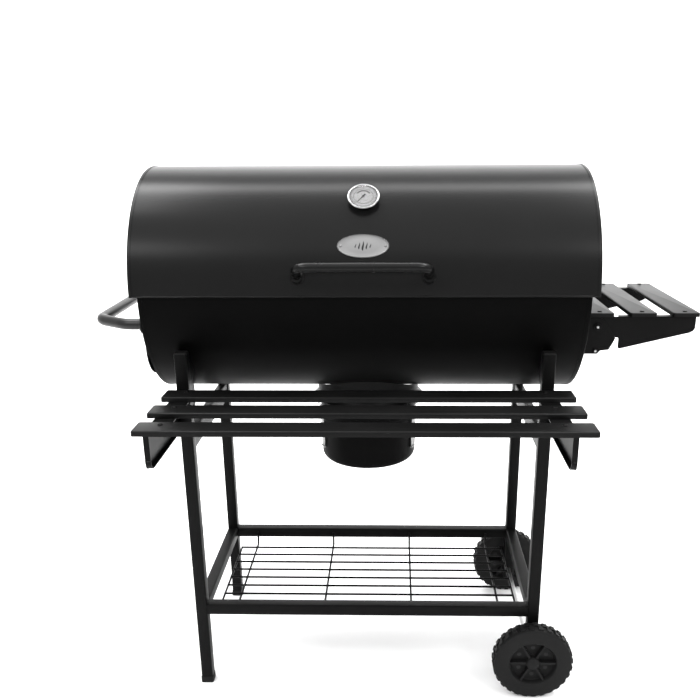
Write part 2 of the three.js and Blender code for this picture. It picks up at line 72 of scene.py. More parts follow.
class Shape:
    """A growing list of vertices, in the cart's millimetres, and faces."""

    def __init__(self):
        self.verts = []
        self.faces = []

    def add(self, verts, faces, matrix=None):
        base = len(self.verts)
        for v in verts:
            v = Vector(v)
            self.verts.append(matrix @ v if matrix else v)
        self.faces.extend([[base + i for i in f] for f in faces])
        return self

    def rings(self, rings, closed=True, caps=True, loop=False, matrix=None):
        """Skin between rings that all have the same number of points."""
        n = len(rings[0])
        verts = [v for ring in rings for v in ring]
        faces = []
        spans = len(rings) if loop else len(rings) - 1
        for i in range(spans):
            a, b = i * n, ((i + 1) % len(rings)) * n
            for j in range(n if closed else n - 1):
                k = (j + 1) % n
                faces.append([a + j, a + k, b + k, b + j])
        if caps and not loop:
            faces.append(list(range(n))[::-1])
            faces.append([(len(rings) - 1) * n + j for j in range(n)])
        return self.add(verts, faces, matrix)


def outward(mesh):
    """Faces of a mesh turned to point out."""
    bm = bmesh.new()
    bm.from_mesh(mesh)
    bmesh.ops.remove_doubles(bm, verts=bm.verts, dist=1e-7)
    bmesh.ops.recalc_face_normals(bm, faces=bm.faces)
    bm.to_mesh(mesh)
    bm.free()


def piece(name, shape, body, material, replaces=(), bevel=0.0, sharp=32):
    mesh = bpy.data.meshes.new(name)
    mesh.from_pydata([at(v) for v in shape.verts], [], shape.faces)
    outward(mesh)
    obj = bpy.data.objects.new(name, mesh)
    bpy.context.scene.collection.objects.link(obj)
    mesh.materials.append(material)
    mesh.shade_smooth()
    mesh.set_sharp_from_angle(angle=math.radians(sharp))
    if bevel:
        m = obj.modifiers.new("edges", "BEVEL")
        m.width = bevel * 0.001
        m.segments = 2
        m.limit_method = "ANGLE"
        m.angle_limit = math.radians(sharp)
        m.harden_normals = True
    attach(obj, body)
    if replaces:
        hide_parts(*([replaces] if isinstance(replaces, str) else replaces))
    return obj


def carve(obj, shape):
    """Cuts a closed shape out of a piece, before its modifiers."""
    cutter_mesh = bpy.data.meshes.new("cutter")
    cutter_mesh.from_pydata([at(v) for v in shape.verts], [], shape.faces)
    outward(cutter_mesh)
    cutter = bpy.data.objects.new("cutter", cutter_mesh)
    bpy.context.scene.collection.objects.link(cutter)
    copy = bpy.data.objects.new("carved", obj.data)
    bpy.context.scene.collection.objects.link(copy)
    m = copy.modifiers.new("cut", "BOOLEAN")
    m.operation = "DIFFERENCE"
    m.solver = "EXACT"
    m.object = cutter
    graph = bpy.context.evaluated_depsgraph_get()
    done = bpy.data.meshes.new_from_object(copy.evaluated_get(graph))
    done.shade_smooth()
    done.set_sharp_from_angle(angle=math.radians(32))
    obj.data = done
    bpy.data.objects.remove(copy)
    bpy.data.objects.remove(cutter)


def rounded_loop(w, h, r, steps=4):
    """A rectangle w by h about the origin, with round corners, as 2-D points."""
    r = max(0.01, min(r, w / 2 - 0.01, h / 2 - 0.01))
    points = []
    for cx, cy, start in ((1, 1, 0), (-1, 1, 90), (-1, -1, 180), (1, -1, 270)):
        for i in range(steps + 1):
            a = math.radians(start + 90 * i / steps)
            points.append((cx * (w / 2 - r) + r * math.cos(a), cy * (h / 2 - r) + r * math.sin(a)))
    return points


def rounded_outline(points, radii, steps=5):
    """A 2-D outline with each corner rounded by its own radius."""
    out = []
    n = len(points)
    for i in range(n):
        p = Vector(points[i])
        r = radii[i] if isinstance(radii, (list, tuple)) else radii
        if r <= 0:
            out.append(tuple(p))
            continue
        a = (Vector(points[i - 1]) - p)
        b = (Vector(points[(i + 1) % n]) - p)
        la, lb = a.length, b.length
        a.normalize()
        b.normalize()
        half = math.acos(max(-1, min(1, a.dot(b)))) / 2
        cut = min(r / math.tan(half), la * 0.49, lb * 0.49)
        s, e = p + a * cut, p + b * cut
        for k in range(steps + 1):
            t = k / steps
            out.append(tuple(s * (1 - t) ** 2 + p * 2 * t * (1 - t) + e * t * t))
    return out


AXES = {
    "x": lambda u, v, w: (w, u, v),
    "y": lambda u, v, w: (u, w, v),
    "z": lambda u, v, w: (u, v, w),
}


def slab(shape, outline, axis, a, b):
    """An outline pushed from a to b along an axis: (Y, Z) for x, (X, Z) for y, (X, Y) for z."""
    put = AXES[axis]
    return shape.rings([[put(u, v, w) for u, v in outline] for w in (a, b)])


def block(shape, x0, x1, y0, y1, z0, z1):
    return slab(shape, [(x0, y0), (x1, y0), (x1, y1), (x0, y1)], "z", z0, z1)


def tube_square(shape, axis, u0, v0, w, h, a, b, r=3.2, wall=2.0):
    """A hollow rectangular tube with round corners."""
    put = AXES[axis]
    cu, cv = u0 + w / 2, v0 + h / 2
    outer = [(cu + u, cv + v) for u, v in rounded_loop(w, h, r)]
    inner = [(cu + u, cv + v) for u, v in rounded_loop(w - 2 * wall, h - 2 * wall, r - wall + 0.4)]
    rings = [[put(*p, a) for p in outer], [put(*p, b) for p in outer]]
    rings += [[put(*p, b) for p in inner], [put(*p, a) for p in inner]]
    return shape.rings(rings, loop=True)


def pan(shape, x0, x1, y0, y1, top, height, wall=1.6, edge=3.0, corner=4.0, steps=4):
    """A pressed sheet cover: flat top, round edges, sides folded down, open below."""
    cx, cy = (x0 + x1) / 2, (y0 + y1) / 2
    w, h = x1 - x0, y1 - y0
    levels = [(wall, top - wall), (wall, top - height), (0, top - height), (0, top - edge)]
    for i in range(1, steps + 1):
        a = math.pi / 2 * i / steps
        levels.append((edge * (1 - math.cos(a)), top - edge + edge * math.sin(a)))
    rings = []
    for inset, z in levels:
        loop = rounded_loop(w - 2 * inset, h - 2 * inset, max(corner - inset, 0.6))
        rings.append([(cx + u, cy + v, z) for u, v in loop])
    return shape.rings(rings)


def spin(shape, profile, matrix, segments=48, start=0.0, turn=360.0):
    """A profile of (radius, height) points spun about a local Z axis. Radius 0 ends close it."""
    full = abs(turn - 360.0) < 1e-6
    count = segments if full else segments + 1
    rings = []
    for i in range(count):
        a = math.radians(start + turn * i / segments)
        rings.append([(r * math.cos(a), r * math.sin(a), h) for r, h in profile])
    return shape.rings(rings, closed=False, caps=False, loop=full, matrix=matrix)


def basis(origin, out, up=(0, 0, 1)):
    """A matrix whose Z is out and whose Y leans towards up, at origin."""
    z = Vector(out).normalized()
    x = Vector(up).cross(z)
    if x.length < 1e-6:
        x = Vector((1, 0, 0))
    x.normalize()
    y = z.cross(x)
    m = Matrix((x, y, z)).transposed().to_4x4()
    m.translation = Vector(origin)
    return m


def bend_path(points, radius, steps=6):
    """Points along a run of straight stretches with round corners."""
    p = [Vector(q) for q in points]
    out = [p[0]]
    for i in range(1, len(p) - 1):
        a = (p[i - 1] - p[i])
        b = (p[i + 1] - p[i])
        r = radius[i - 1] if isinstance(radius, (list, tuple)) else radius
        cut = min(r, a.length * 0.49, b.length * 0.49)
        s, e = p[i] + a.normalized() * cut, p[i] + b.normalized() * cut
        for k in range(steps + 1):
            t = k / steps
            out.append(s * (1 - t) ** 2 + p[i] * 2 * t * (1 - t) + e * t * t)
    out.append(p[-1])
    return out


def wire(shape, path, radius, sides=12, round_ends=True):
    """A round rod along a path. radius is a number or a function of the share along the path."""
    path = [Vector(p) for p in path]
    tangents = []
    for i in range(len(path)):
        a = path[max(i - 1, 0)]
        b = path[min(i + 1, len(path) - 1)]
        tangents.append((b - a).normalized())
    side = tangents[0].orthogonal().normalized()
    rings = []
    for i, (p, t) in enumerate(zip(path, tangents)):
        side = (side - t * side.dot(t)).normalized()
        other = t.cross(side)
        share = i / (len(path) - 1)
        r = radius(share) if callable(radius) else radius
        ring = []
        for j in range(sides):
            a = 2 * math.pi * j / sides
            ring.append(p + side * (r * math.cos(a)) + other * (r * math.sin(a)))
        if i == 0 and round_ends:
            rings += [[p - t * r * out + (q - p) * k for q in ring] for out, k in ((0.3, 0.55), (0.12, 0.86))]
        rings.append(ring)
        if i == len(path) - 1 and round_ends:
            rings += [[p + t * r * out + (q - p) * k for q in ring] for out, k in ((0.12, 0.86), (0.3, 0.55))]
    return shape.rings(rings)


# ---- materials -----------------------------------------------------------


class Nodes:
    """A material's node tree, written one call per node."""

    def __init__(self, name):
        self.material = bpy.data.materials.new(name)
        self.material.use_nodes = True
        self.tree = self.material.node_tree
        self.shader = self.tree.nodes["Principled BSDF"]

    def node(self, kind, **inputs):
        n = self.tree.nodes.new(kind)
        for key, value in inputs.items():
            if key in n.inputs:
                n.inputs[key].default_value = value
            else:
                setattr(n, key, value)
        return n

    def link(self, a, b):
        self.tree.links.new(a, b)

    def noise(self, scale, detail, stretch=(1, 1, 1)):
        coords = self.node("ShaderNodeTexCoord")
        mapping = self.node("ShaderNodeMapping")
        mapping.inputs["Scale"].default_value = stretch
        self.link(coords.outputs["Object"], mapping.inputs["Vector"])
        n = self.node("ShaderNodeTexNoise", Scale=scale, Detail=detail, Roughness=0.5)
        self.link(mapping.outputs["Vector"], n.inputs["Vector"])
        return n.outputs["Fac"]

    def spread(self, value, low, high):
        n = self.node("ShaderNodeMapRange")
        n.inputs["From Min"].default_value = 0.3
        n.inputs["From Max"].default_value = 0.7
        n.inputs["To Min"].default_value = low
        n.inputs["To Max"].default_value = high
        self.link(value, n.inputs["Value"])
        return n.outputs["Result"]

    def tint(self, value, dark, light):
        ramp = self.node("ShaderNodeValToRGB")
        ramp.color_ramp.elements[0].position = 0.3
        ramp.color_ramp.elements[0].color = (*dark, 1)
        ramp.color_ramp.elements[1].position = 0.7
        ramp.color_ramp.elements[1].color = (*light, 1)
        self.link(value, ramp.inputs["Fac"])
        return ramp.outputs["Color"]

    def bump(self, value, depth_mm):
        n = self.node("ShaderNodeBump", Strength=1.0, Distance=depth_mm * 0.001)
        self.link(value, n.inputs["Height"])
        return n.outputs["Normal"]


def grey(v):
    return (v, v, v)


def finish(name, dark, light, rough, metallic=0.0, grain=900, depth=0.02, stretch=(1, 1, 1), specular=0.5):
    """A surface whose colour and roughness wander softly, with a fine grain in its relief."""
    m = Nodes(name)
    s = m.shader
    wander = m.noise(7.0, 4.0)
    fine = m.noise(grain, 2.0, stretch)
    m.link(m.tint(wander, dark, light), s.inputs["Base Color"])
    m.link(m.spread(wander, rough[0], rough[1]), s.inputs["Roughness"])
    m.link(m.bump(fine, depth), s.inputs["Normal"])
    s.inputs["Metallic"].default_value = metallic
    s.inputs["Specular IOR Level"].default_value = specular
    return m.material


COAT = finish("satin_black_coat", grey(0.0016), grey(0.0032), (0.36, 0.44), depth=0.018, specular=0.07)
LID = finish("lid_enamel", grey(0.0048), grey(0.0054), (0.25, 0.265), depth=0.006, specular=0.11)
BARREL = finish("barrel_coat", grey(0.0010), grey(0.0018), (0.42, 0.50), depth=0.018, specular=0.03)
SLAT = finish("slat_coat", grey(0.0030), grey(0.0052), (0.34, 0.40), depth=0.016, specular=0.10)
SATIN = finish("satin_grey_coat", grey(0.008), grey(0.013), (0.30, 0.38), depth=0.012, specular=0.25)
GLOSS = finish("gloss_black", grey(0.002), grey(0.0035), (0.24, 0.30), depth=0.004, specular=0.16)
PLASTIC = finish("moulded_black", grey(0.0045), grey(0.0075), (0.50, 0.62), grain=1400, depth=0.05,
                 specular=0.12)
STEEL = finish("bright_steel", grey(0.36), grey(0.46), (0.26, 0.36), metallic=1.0, grain=500, depth=0.01,
               stretch=(1, 1, 9))
LATCH = finish("latch_steel", grey(0.20), grey(0.28), (0.34, 0.44), metallic=1.0, grain=500, depth=0.01)
WIRE = finish("plated_wire", grey(0.42), grey(0.54), (0.26, 0.36), metallic=1.0, grain=700, depth=0.012)
CHROME = finish("chrome", grey(0.34), grey(0.42), (0.08, 0.13), metallic=1.0, grain=400, depth=0.002)
SILVER = finish("satin_silver", grey(0.17), grey(0.20), (0.40, 0.48), metallic=0.5, grain=900, depth=0.01)
# Black for print, the needle and the nameplate ornament; it also paints the shade of screw recesses and wheel
# weep holes.
INK_AND_SHADE_BLACK = finish("black_ink_and_painted_shade", grey(0.008), grey(0.012), (0.45, 0.5), grain=800, depth=0.004, specular=0.2)
DIAL = finish("dial_white", grey(0.24), grey(0.28), (0.42, 0.5), grain=700, depth=0.004, specular=0.2)
TRAY = finish("tray_black", grey(0.012), grey(0.024), (0.55, 0.7), metallic=0.3, depth=0.03)


def glass():
    m = Nodes("gauge_glass")
    s = m.shader
    m.link(m.spread(m.noise(60, 2.0), 0.0, 0.03), s.inputs["Roughness"])
    s.inputs["Base Color"].default_value = (1, 1, 1, 1)
    s.inputs["Transmission Weight"].default_value = 1.0
    s.inputs["IOR"].default_value = 1.2
    return m.material


# ---- fasteners -----------------------------------------------------------


def hex_bolt(shape, p, out, across=8.0, height=4.0, flange=0.0):
    m = basis(p, out)
    r = across / math.sqrt(3)
    if flange:
        spin(shape, [(0, 0), (flange, 0), (flange, 0.8), (flange * 0.8, 1.4), (0, 1.4)], m, 28)
    base = 1.2 if flange else 0.0
    rings = []
    for scale, z in ((1.0, base), (1.0, base + height - 0.6), (0.88, base + height), (0.5, base + height)):
        ring = []
        for i in range(6):
            a = math.radians(60 * i + 30)
            ring.append((r * scale * math.cos(a), r * scale * math.sin(a), z))
        rings.append(ring)
    return shape.rings(rings, matrix=m)


def screw(shape, p, out, r=5.0, h=2.4):
    """A pan-head screw with a plain head; its crossed recess is not cut, only painted as a black cross of
    shade by the next function.
    """
    m = basis(p, out)
    profile = [(0, 0), (r, 0), (r, h * 0.25), (r * 0.9, h * 0.62), (r * 0.68, h * 0.9), (r * 0.42, h), (0, h)]
    spin(shape, profile, m, 24)
    return m


def recess_shade_cross(shape, p, out, r=5.0, h=2.4):
    """A black cross on a screw's head: painted shade standing in for its crossed recess."""
    m = basis(p, out)
    w, l = r * 0.13, r * 0.5
    cross = [(w, w), (w, l), (-w, l), (-w, w), (-l, w), (-l, -w)]
    cross += [(-w, -w), (-w, -l), (w, -l), (w, -w), (l, -w), (l, w)]
    return shape.rings([[(u, v, z) for u, v in cross] for z in (h * 0.8, h + 0.12)], matrix=m)


# ---- cart ----------------------------------------------------------------

for side, x0 in LEG_XS:
    low = 3.0 if side == "left" else 58.0
    for end, y0, top in (("front", 0.0, 760.0), ("rear", REAR_Y, 682.0)):
        piece(f"{end}_{side}_leg", tube_square(Shape(), "z", x0, y0, TUBE, TUBE, low, top), "cart", COAT,
              f"leg_{end}_{side}")
        if side == "left":
            foot = Shape()
            pan(foot, x0 - 1.2, x0 + 26.2, y0 - 1.2, y0 + 26.2, 14, 14, edge=1.2, corner=4)
            rib = rounded_loop(24, 24, 3)
            foot.rings([[(x0 + 12.5 + u, y0 + 12.5 + v, z) for u, v in rib] for z in (0.0, 2.8)])
            piece(f"{end}_foot_cap", foot, "cart", PLASTIC, f"foot_{end}")
    cap = Shape()
    pan(cap, x0 + 0.4, x0 + 24.6, 0.4, 24.6, 763, 3, wall=1.0, edge=1.8, corner=3)
    for i in range(3):
        rib = rounded_loop(20.2, 20.2, 1.5)
        z = 748 + 4 * i
        cap.rings([[(x0 + 12.5 + u, 12.5 + v, q) for u, v in rib] for q in (z, z + 1.5)])
    piece(f"{side}_leg_cap", cap, "cart", PLASTIC, f"leg_cap_{side}")
    piece(f"{side}_base_rail", tube_square(Shape(), "y", x0, RAIL_Z, TUBE, TUBE, TUBE, REAR_Y), "cart", COAT,
          f"base_rail_{side}")
    piece(f"{side}_upper_rail", tube_square(Shape(), "y", x0 + 2.5, 554, 20, 40, TUBE, REAR_Y), "cart", COAT,
          f"upper_rail_{side}")
for end, y0 in (("front", 0.0), ("rear", REAR_Y)):
    piece(f"{end}_base_rail", tube_square(Shape(), "x", y0, RAIL_Z, TUBE, TUBE, -347.5, 347.5), "cart", COAT,
          f"base_rail_{end}")


def weld_beads():
    """Small fillets of weld where the rails meet the legs."""
    beads = Shape()
    for x in (-347.5, 347.5):
        for y0 in (0.0, 360.5):
            for z in (175.0, 200.0):
                path = [(x, y0 + 3 + 19 * i / 8, z) for i in range(9)]
                wire(beads, path, lambda s: 1.5 + 0.35 * math.sin(s * 50), 8)
    for x0 in (-372.5, 347.5):
        for y in (25.0, 360.5):
            for z in (175.0, 200.0, 554.0, 594.0):
                path = [(x0 + 4 + 17 * i / 8, y, z) for i in range(9)]
                wire(beads, path, lambda s: 1.5 + 0.35 * math.sin(s * 50), 8)
    return beads


piece("frame_welds", weld_beads(), "cart", COAT)

for side in ("left", "right"):
    for end in ("front", "rear"):
        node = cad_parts[f"saddle_{end}_{side}"]
        node.data.materials.clear()
        node.data.materials.append(COAT)
        m = node.modifiers.new("edges", "BEVEL")
        m.width = 0.0006
        m.segments = 2
        m.limit_method = "ANGLE"
        m.harden_normals = True


def rack():
    """Long wires on cross wires whose ends turn up behind the front and rear rails."""
    s = Shape()
    for x in (-294, -98, 98, 294):
        path = bend_path([(x, 28, 190), (x, 28, 158), (x, 357.5, 158), (x, 357.5, 190)], 9)
        wire(s, path, 2.5, 14)
    for x in (-333, 333):
        wire(s, [(x, 32 + 299 * k / 6, 158) for k in range(7)], 2.5, 14)
    for i in range(9):
        y = 328 - 36.7 * i
        wire(s, [(-333 + 666 * k / 12, y, 162.4) for k in range(13)], 2.5, 14)
    return s


piece("wire_rack", rack(), "cart", COAT, "bottom_rack", sharp=60)


# ---- barrel --------------------------------------------------------------


def around(r, degrees):
    """A point at that angle round the barrel's axis, from the front and up, as (Y, Z)."""
    a = math.radians(degrees)
    return AXIS_Y - r * math.cos(a), AXIS_Z + r * math.sin(a)


def curved_sheet(x0, x1, r, thickness, a0, a1, steps, across=12):
    """A sheet bent round the barrel's axis from angle a0 to a1."""
    s = Shape()
    rings = []
    for j in range(across + 1):
        x = x0 + (x1 - x0) * j / across
        ring = []
        for i in range(steps + 1):
            y, z = around(r, a0 + (a1 - a0) * i / steps)
            ring.append((x, y, z))
        for i in range(steps, -1, -1):
            y, z = around(r - thickness, a0 + (a1 - a0) * i / steps)
            ring.append((x, y, z))
        rings.append(ring)
    return s.rings(rings)


def end_cap(sign, face, r, flange, lip=0.6):
    """A round end plate with a rolled rim that reaches back over the shell."""
    s = Shape()
    inner = face - 2.0
    profile = [(0, face), (r * 0.9, face), (r * 0.93, face), (r - 3.2, face)]
    for i in range(7):
        a = math.pi / 2 * i / 6
        profile.append((r + lip - 3.2 + 3.2 * math.sin(a), face - 3.2 + 3.2 * math.cos(a)))
    profile += [(r + lip, face - flange), (r + lip - 0.9, face - flange), (r + lip - 1.0, inner - 1.5)]
    profile += [(r - 6, inner), (r * 0.93, inner), (r * 0.9, inner), (0, inner)]
    m = basis((0, AXIS_Y, AXIS_Z), (sign, 0, 0))
    return spin(s, profile, m, 192)


def half_space(z0, z1):
    return block(Shape(), -600, 600, -100, 600, z0, z1)


RIM = math.degrees(math.asin(9.0 / 229.0))
shell = piece("barrel_body", curved_sheet(-431, 431, BODY_R, 2, RIM, -180 - RIM, 150), "cart", BARREL,
              "barrel_shell")
hole = spin(Shape(), [(0, 600), (90, 600), (90, 700), (0, 700)], Matrix.Translation((0, AXIS_Y, 0)), 64)
carve(shell, hole)

def carve_vent_holes(obj):
    """Four round holes about the vent's centre."""
    for i in range(4):
        a = math.radians(45 + 90 * i)
        y, z = VENT_Y + VENT_HOLE_AT * math.cos(a), VENT_Z + VENT_HOLE_AT * math.sin(a)
        hole_profile = [(0, 0), (VENT_HOLE_R, 0), (VENT_HOLE_R, 60), (0, 60)]
        carve(obj, spin(Shape(), hole_profile, basis((-460, y, z), (1, 0, 0)), 40))


for side, sign in (("left", -1), ("right", 1)):
    cap = piece(f"barrel_end_plate_{side}", end_cap(sign, 433, BODY_R, 9), "cart", BARREL,
                f"barrel_end_{side}")
    carve(cap, half_space(880, 1300))
    if side == "left":
        carve_vent_holes(cap)


def ledge(sign):
    s = Shape()
    far, near = AXIS_Y + sign * 207, AXIS_Y + sign * 224.5
    inner = near - sign * 1.6
    outline = [(far, 843), (near, 843), (near, 857), (inner, 857), (inner, 844.6), (far, 844.6)]
    return slab(s, outline, "x", -400, 400)


piece("front_grate_ledge", ledge(-1), "cart", BARREL, "grate_ledge_front", bevel=0.5)
piece("rear_grate_ledge", ledge(1), "cart", BARREL, "grate_ledge_rear", bevel=0.5)

# ---- lid -----------------------------------------------------------------

LOW = math.degrees(math.asin(2.5 / LID_R))
piece("lid_curved_shell", curved_sheet(-443.5, 443.5, LID_R, 2, LOW, 180 - LOW, 170, 24), "lid", LID,
      "lid_shell")
for side, sign in (("left", -1), ("right", 1)):
    cap = piece(f"lid_end_plate_{side}", end_cap(sign, 447, LID_R, 7, lip=0.9), "lid", LID,
                f"lid_end_{side}")
    carve(cap, half_space(500, 873.5))


def lid_hem():
    """The rolled lower edge of the lid, front and back."""
    s = Shape()
    for y in (AXIS_Y - LID_R + 0.6, AXIS_Y + LID_R - 0.6):
        wire(s, [(-441 + 882 * k / 24, y, 875.6) for k in range(25)], 1.9, 12)
    return s


piece("lid_rolled_edge", lid_hem(), "lid", LID, sharp=60)


def lid_frame(degrees, x=0.0, height=0.0):
    a = math.radians(degrees)
    out = Vector((0, -math.cos(a), math.sin(a)))
    centre = Vector((x, AXIS_Y, AXIS_Z)) + out * (LID_R + height)
    return basis(centre, out)


def fine_path(path, step):
    """The same run of points with none further apart than step."""
    out = []
    for a, b in zip(path, path[1:]):
        n = max(1, int((b - a).length / step))
        out += [a.lerp(b, i / n) for i in range(n)]
    return out + [path[-1]]


def lid_bar():
    s = Shape()
    path = bend_path([(-124, 6, 909), (-124, -50, 937), (124, -50, 937), (124, 6, 909)], 26, 10)
    wire(s, fine_path(path, 16), 9, 24, round_ends=False)
    for x in (-124, 124):
        m = lid_frame(math.degrees(math.asin((911.0 - AXIS_Z) / LID_R)), x, 0.3)
        spin(s, [(0, 0), (13, 0), (13, 1.4), (12, 2.8), (10, 4.2), (9, 7), (0, 7)], m, 32)
    return s


piece("lid_bar_handle", lid_bar(), "lid", GLOSS, "lid_handle", sharp=50)

THERMO = 48


def thermometer():
    m = lid_frame(THERMO)
    case = Shape()
    profile = [(0, -24), (3.2, -24), (3.2, 0.4), (20.6, 0.4)]
    profile += [(22.8, 1.2), (24.2, 3.3), (24.8, 7.5), (29.2, 8.6)]
    for i in range(9):
        a = math.radians(-40 + 25 * i)
        profile.append((29.0 + 2.1 * math.cos(a), 11.6 + 2.4 * math.sin(a)))
    profile += [(26.8, 12.8), (26.5, 11.5), (0, 11.5)]
    spin(case, profile, m, 72)
    piece("thermometer_bezel", case, "lid", CHROME, "thermometer_case", sharp=45)
    face = spin(Shape(), [(0, 11.6), (26.3, 11.6), (26.3, 12.1), (0, 12.1)], m, 64)
    piece("thermometer_face", face, "lid", DIAL, "thermometer_dial")
    piece("thermometer_ticks", dial_marks(m), "lid", INK_AND_SHADE_BLACK)
    dome = [(0, 15.4), (13, 15.2), (22, 14.5), (26.5, 13.9), (26.5, 13.3), (22, 13.9), (13, 14.6), (0, 14.8)]
    piece("thermometer_lens", spin(Shape(), dome, m, 64), "lid", glass())
    turn = m @ Matrix.Rotation(math.radians(-38), 4, "Z")
    needle = Shape()
    blade = [(-1.6, 6), (1.6, 6), (1.3, 0), (0.5, -20), (-0.5, -20), (-1.3, 0)]
    needle.rings([[(u, v, z) for u, v in blade] for z in (12.75, 13.2)], matrix=turn)
    spin(needle, [(0, 12.7), (2.8, 12.7), (2.8, 13.3), (1.9, 13.8), (0, 13.9)], turn, 20)
    piece("thermometer_pointer", needle, "thermometer_needle", INK_AND_SHADE_BLACK, "thermometer_needle")


def dial_marks(m):
    """Tick marks, rings and a plain arc on the dial."""
    marks = Shape()
    for i in range(41):
        a = math.radians(-135 + 270 * i / 40)
        long, w = (4.2, 0.5) if i % 5 == 0 else (2.4, 0.3)
        d = Vector((math.sin(a), math.cos(a), 0))
        e = Vector((d.y, -d.x, 0))
        corners = [d * 24.2 + e * w, d * 24.2 - e * w, d * (24.2 - long) - e * w, d * (24.2 - long) + e * w]
        marks.rings([[c + Vector((0, 0, z)) for c in corners] for z in (12.0, 12.22)], matrix=m)
    for r, w in ((25.4, 0.6), (18.6, 0.45)):
        spin(marks, [(r - w, 12.0), (r + w, 12.0), (r + w, 12.2), (r - w, 12.2), (r - w, 12.0)], m, 72)
    arc = [(12.5, 12.0), (15.5, 12.0), (15.5, 12.18), (12.5, 12.18), (12.5, 12.0)]
    return spin(marks, arc, m, 40, start=30, turn=120)


thermometer()

PLATE = 24.2


def on_curve(x, arc, height):
    """A point on the lid, arc millimetres above the nameplate's middle."""
    a = math.radians(PLATE) + arc / LID_R
    r = LID_R + height
    return (x, AXIS_Y - r * math.cos(a), AXIS_Z + r * math.sin(a))


def nameplate():
    """A domed oval plate with a raised rim, two rivets and a plain flame ornament."""
    s = Shape()
    levels = [(1.0, 0.2), (1.0, 1.5), (0.992, 2.1), (0.965, 2.4), (0.935, 2.1)]
    levels += [(0.92, 1.5), (0.90, 1.25), (0.6, 1.45), (0.3, 1.55)]
    rings = []
    for k, h in levels:
        ring = []
        for i in range(96):
            a = 2 * math.pi * i / 96
            inset = (1 - k) * 24
            ring.append(on_curve((49 - inset) * math.cos(a) if k > 0.7 else 49 * k * math.cos(a),
                                 (22.5 - inset) * math.sin(a) if k > 0.7 else 22.5 * k * math.sin(a), h))
        rings.append(ring)
    s.rings(rings)
    for x in (-42, 42):
        m = lid_frame(PLATE, x, 1.2)
        spin(s, [(0, 0), (2.4, 0), (2.2, 1.0), (1.3, 1.6), (0, 1.8)], m, 20)
    piece("oval_nameplate", s, "lid", SILVER, "nameplate", sharp=50)
    mark = Shape()
    for x, w, h in ((-14, 0.9, 8), (-7, 1.2, 13), (0, 1.6, 18), (7, 1.2, 13), (14, 0.9, 8)):
        loop = []
        for i in range(28):
            a = 2 * math.pi * i / 28
            up = math.sin(a)
            width = w * math.cos(a) * (1 - 0.55 * up)
            loop.append((x + width + 0.9 * math.sin(up * 2.4), up * h / 2))
        mark.rings([[on_curve(u, v, z) for u, v in loop] for z in (1.2, 1.75)])
    line = []
    for k, h in ((0.975, 2.0), (0.975, 2.55), (0.955, 2.55), (0.955, 2.0)):
        angles = [2 * math.pi * i / 96 for i in range(96)]
        inset = (1 - k) * 24
        line.append([on_curve((49 - inset) * math.cos(a), (22.5 - inset) * math.sin(a), h) for a in angles])
    mark.rings(line, loop=True)
    piece("nameplate_ornament", mark, "lid", INK_AND_SHADE_BLACK, sharp=50)


nameplate()

# ---- lid hinges ----------------------------------------------------------


def hinge(side, x):
    hy, hz = 472.0, 871.5

    def leaf(shape, r, degrees):
        y, z = AXIS_Y + r * math.cos(math.radians(degrees)), AXIS_Z + r * math.sin(math.radians(degrees))
        out = Vector((0, math.cos(math.radians(degrees)), math.sin(math.radians(degrees))))
        m = basis((x, y, z), out)
        shape.rings([[(u, v, w) for u, v in rounded_loop(40, 44, 4)] for w in (0.2, 2.6)], matrix=m)
        return m

    base = Shape()
    m = leaf(base, BODY_R, -8)
    top = Shape()
    n = leaf(top, LID_R, 7)
    heads = Shape()
    lid_heads = Shape()
    rivet = [(0, 2.4), (4, 2.4), (3.6, 4.0), (2, 5.0), (0, 5.2)]
    for u in (-12, 12):
        for v in (-12, 8):
            spin(heads, rivet, m @ Matrix.Translation((u, v, 0)), 18)
            spin(lid_heads, rivet, n @ Matrix.Translation((u, v + 4, 0)), 18)
    for a, b in ((x - 20, x - 6.5), (x + 6.5, x + 20)):
        spin(base, [(3.1, a), (6, a), (6, b), (3.1, b), (3.1, a)], basis((0, hy, hz), (1, 0, 0)), 28)
        bridge = [(459.5, 858), (466, 858), (hy + 4, 867), (hy - 4, 869), (459.5, 869)]
        slab(base, rounded_outline(bridge, 1.0, 3), "x", a, b)
    spin(base, [(0, x - 24), (4.6, x - 24), (4.6, x - 21.5), (2.9, x - 21.5), (2.9, x + 24), (0, x + 24)],
         basis((0, hy, hz), (1, 0, 0)), 24)
    knuckle = [(3.3, x - 6), (6, x - 6), (6, x + 6), (3.3, x + 6), (3.3, x - 6)]
    spin(top, knuckle, basis((0, hy, hz), (1, 0, 0)), 28)
    web = [(hy - 7.8, hz + 2), (hy - 2, hz + 4), (hy - 2, hz + 6), (hy - 7.8, hz + 10)]
    slab(top, web, "x", x - 6, x + 6)
    piece(f"lid_hinge_base_{side}", base, "cart", COAT, f"hinge_base_{side}")
    piece(f"lid_hinge_leaf_{side}", top, "lid", COAT, f"hinge_lid_{side}")
    piece(f"hinge_base_rivets_{side}", heads, "cart", STEEL)
    piece(f"hinge_leaf_rivets_{side}", lid_heads, "lid", STEEL)


hinge("left", -300)
hinge("right", 300)

# ---- pull handle ---------------------------------------------------------


def pull_handle():
    s = Shape()
    z = 816
    corners = [(-434, 24, z), (-468, 24, z), (-533, 68, z), (-533, 389, z), (-468, 433, z), (-434, 433, z)]
    wire(s, fine_path(bend_path(corners, 22, 10), 18), 11, 28, round_ends=False)
    for y in (24, 433):
        m = basis((-433.2, y, z), (-1, 0, 0))
        spin(s, [(0, 0), (18, 0), (18, 2.0), (17, 2.8), (12.5, 3.4), (11.4, 5), (0, 5)], m, 36)
    return s


piece("end_pull_handle", pull_handle(), "cart", SATIN, "pull_handle", sharp=50)

# ---- vent damper ---------------------------------------------------------


